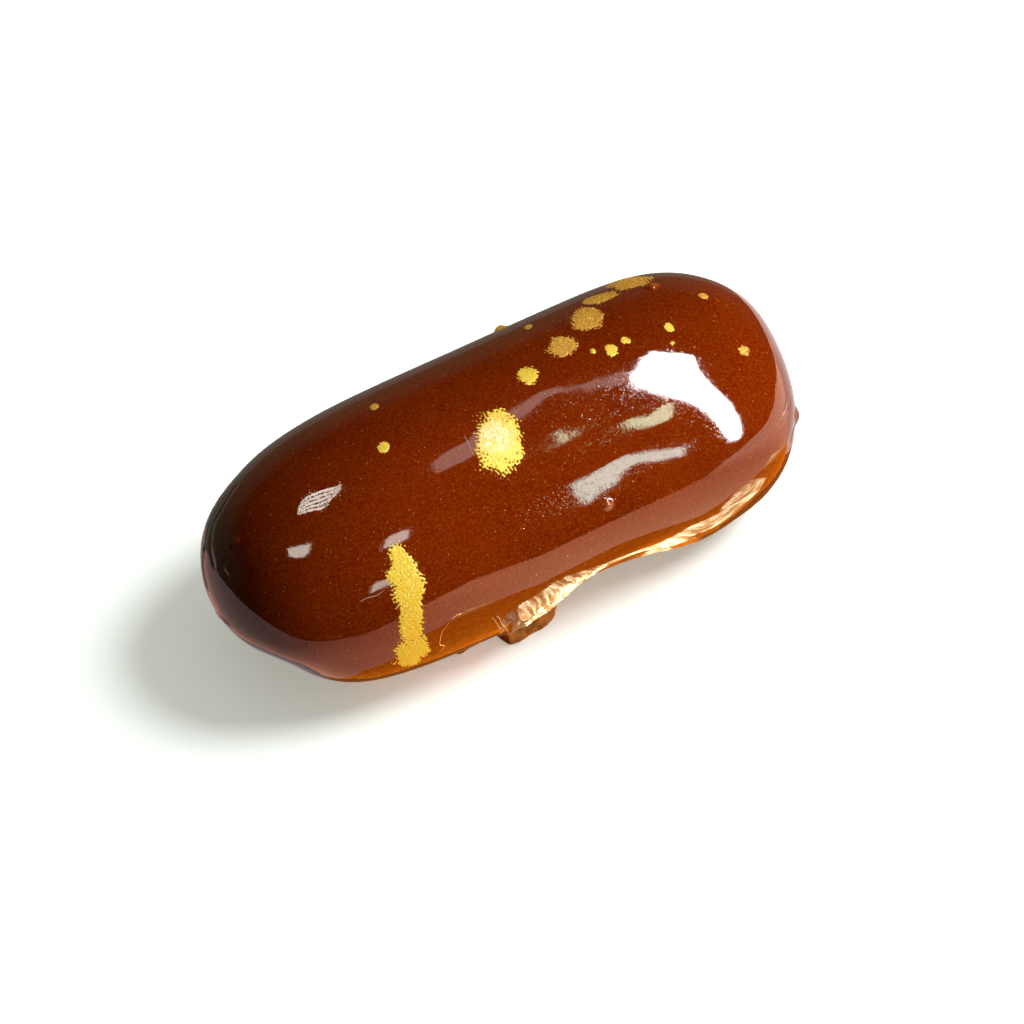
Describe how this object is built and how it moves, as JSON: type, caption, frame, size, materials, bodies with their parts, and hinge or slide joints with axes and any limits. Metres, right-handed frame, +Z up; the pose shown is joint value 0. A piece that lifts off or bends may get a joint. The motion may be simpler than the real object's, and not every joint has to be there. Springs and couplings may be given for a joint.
{
  "type": "mini chocolate eclair",
  "caption": "Small filled choux finger with rounded ends under dark mirror glaze, spattered with gold dust, flat underneath to stand on a table.",
  "frame": {"origin": "middle of the bounding box at the level of the flat base", "axes": "+Z up, +X along the eclair to its blunter end, -Y to the side with the flap of glaze"},
  "size_m": [0.0796, 0.0348, 0.0286],
  "materials": {
    "glaze": "wet mirror glaze of dark milk chocolate with a fine bronze shimmer",
    "choux": "matt baked choux crust, finely cracked",
    "gold": "grainy gold powder splashes"
  },
  "bodies": {
    "root": {"eclair": "glaze"}
  },
  "joints": []
}
